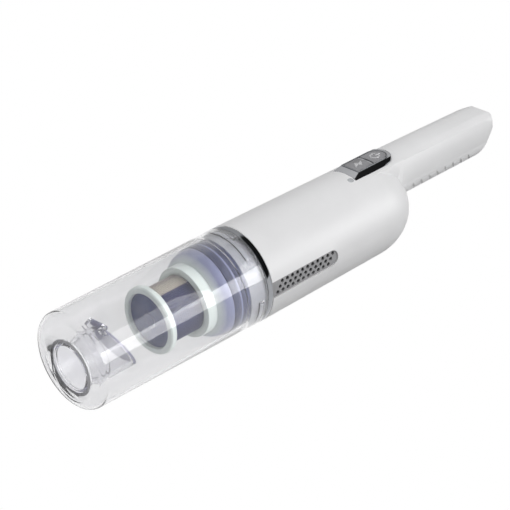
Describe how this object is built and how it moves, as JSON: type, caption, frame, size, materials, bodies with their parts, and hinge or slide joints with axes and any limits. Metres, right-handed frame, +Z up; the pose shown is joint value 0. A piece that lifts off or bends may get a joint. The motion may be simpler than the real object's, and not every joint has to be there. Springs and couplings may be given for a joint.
{
  "type": "handheld vacuum",
  "caption": "Cordless handheld vacuum: clear twist-off dust cup with flap and filter, round motor and battery barrel with side vents, buttons on top, straight handle.",
  "frame": {"origin": "centre of the bounding box's underside, below the middle of the tool's length, where the round barrel touches a flat surface", "axes": "+X along the tool's axis from the nose to the handle, +Z up through the buttons, +Y to the user's right when the nose points away"},
  "size_m": [0.391, 0.07, 0.0706],
  "materials": {
    "clear_plastic": "clear moulded, polished",
    "smoky_clear_plastic": "clear moulded, slightly smoky",
    "white_shell": "satin pearl white",
    "dark_chrome": "dark chrome plating on plastic",
    "grille_grey": "fine satin",
    "gloss_black": "piano black",
    "silver_button": "satin silver paint",
    "light_guide": "frosted clear",
    "filter_shell": "moulded satin",
    "filter_navy": "moulded satin",
    "navy_rubber": "soft satin",
    "black_rubber": "soft satin",
    "filter_mesh": "fine woven mesh",
    "filter_paper": "pleated paper",
    "foam": "open foam",
    "inner_plastic": "moulded",
    "bulkhead_plastic": "moulded",
    "aluminium": "turned",
    "steel": "drawn and ground",
    "magnet": "sintered ferrite",
    "copper": "enamelled copper wire",
    "cell_wrap": "film-wrapped cell",
    "circuit_board": "green solder mask"
  },
  "bodies": {
    "body": {"bulkhead": "bulkhead_plastic", "cup_seal": "navy_rubber", "trim_ring": "dark_chrome", "main_housing": "white_shell", "handle_cover": "white_shell", "vent_grille_left": "grille_grey", "vent_grille_right": "grille_grey", "exhaust_foam_left": "foam", "exhaust_foam_right": "foam", "button_housing": "gloss_black", "bezel_trim": "dark_chrome", "indicator_lens": "light_guide", "button_board": "circuit_board", "tact_switches": "inner_plastic", "motor_gasket": "black_rubber", "impeller_shroud": "aluminium", "diffuser": "inner_plastic", "motor_can": "steel", "motor_magnets": "magnet", "motor_end_bell": "bulkhead_plastic", "bearing_front": "steel", "bearing_rear": "steel", "carbon_brushes": "inner_plastic", "motor_cradle": "black_rubber", "motor_screws": "steel", "battery_cell_left": "cell_wrap", "battery_cell_middle": "cell_wrap", "battery_cell_right": "cell_wrap", "battery_tray": "inner_plastic", "cell_strips": "steel", "main_board": "circuit_board", "board_parts": "inner_plastic", "charging_socket": "steel", "charging_board": "circuit_board"},
    "cup": {"dust_cup": "clear_plastic", "inlet_duct": "smoky_clear_plastic", "flap_pin": "steel"},
    "flap": {"flap_valve": "black_rubber"},
    "filter": {"filter_end_cap": "filter_shell", "filter_end_disc": "filter_navy", "filter_mesh": "filter_mesh", "filter_pleats": "filter_paper", "filter_frame": "filter_shell", "filter_seal": "navy_rubber"},
    "mode_key": {"mode_button": "silver_button"},
    "power_key": {"power_button": "silver_button"},
    "rotor": {"impeller": "inner_plastic", "rotor_shaft": "steel", "rotor_core": "steel", "rotor_winding": "copper", "commutator": "copper"}
  },
  "joints": [
    {"name": "cup_twist", "type": "hinge", "parent": "body", "child": "cup", "pos_m": [0, 0, 0.035], "axis": [-1, 0, 0], "range_deg": [0, 35]},
    {"name": "flap_open", "type": "hinge", "parent": "cup", "child": "flap", "pos_m": [-0.16958, 0, 0.05127], "axis": [0, -1, 0], "range_deg": [0, 28]},
    {"name": "filter_pull", "type": "slide", "parent": "body", "child": "filter", "axis": [-1, 0, 0], "range_m": [0, 0.004]},
    {"name": "mode_press", "type": "slide", "parent": "body", "child": "mode_key", "axis": [0, 0, -1], "range_m": [0, 0.0008], "stiffness_N_per_m": 1000, "springref_m": -0.0005},
    {"name": "power_press", "type": "slide", "parent": "body", "child": "power_key", "axis": [0, 0, -1], "range_m": [0, 0.0008], "stiffness_N_per_m": 1000, "springref_m": -0.0005},
    {"name": "rotor_spin", "type": "hinge", "parent": "body", "child": "rotor", "pos_m": [0, 0, 0.035], "axis": [1, 0, 0], "continuous": true}
  ]
}
